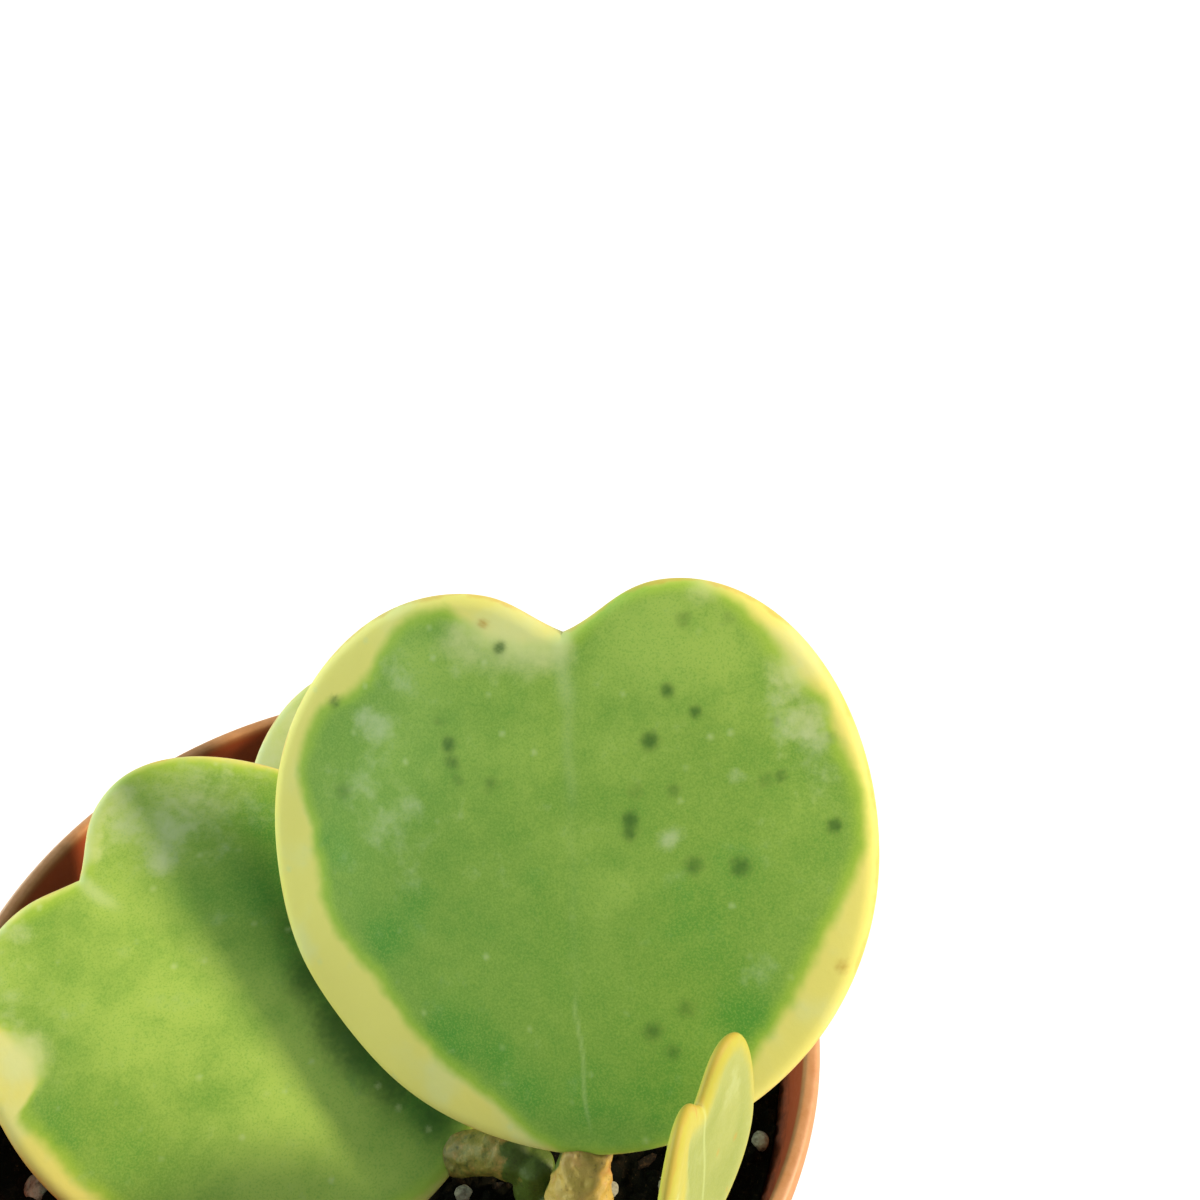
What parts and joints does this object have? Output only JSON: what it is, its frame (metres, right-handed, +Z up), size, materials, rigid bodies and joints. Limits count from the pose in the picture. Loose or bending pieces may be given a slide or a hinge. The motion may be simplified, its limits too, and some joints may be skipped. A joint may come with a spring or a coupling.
{
  "type": "potted hoya plant",
  "caption": "Young sweetheart hoya with thick heart-shaped, yellow-edged leaves on short stems, growing in gritty soil in a tapered terracotta-coloured plastic nursery pot.",
  "frame": {"origin": "centre of the pot's underside, on the pot's axis", "axes": "+Z up along the pot's axis; -Y towards the side that the plant faces"},
  "size_m": [0.1062, 0.1062, 0.1463],
  "materials": {
    "pot_plastic": "moulded polypropylene, terracotta colour, satin",
    "potting_soil": "moist dark peat with white perlite grains",
    "stem_bark": "corky tan petiole and green stem skin",
    "leaf_green": "waxy succulent leaf, green centre and yellow margin, satin",
    "leaf_yellow": "waxy young leaf, yellow and pale green, satin"
  },
  "bodies": {
    "root": {"pot": "pot_plastic", "soil": "potting_soil", "stem_main": "stem_bark", "stem_back": "stem_bark", "stem_young": "stem_bark", "leaf_right": "leaf_green", "leaf_left": "leaf_green", "leaf_back": "leaf_green", "leaf_young": "leaf_yellow"}
  },
  "joints": []
}
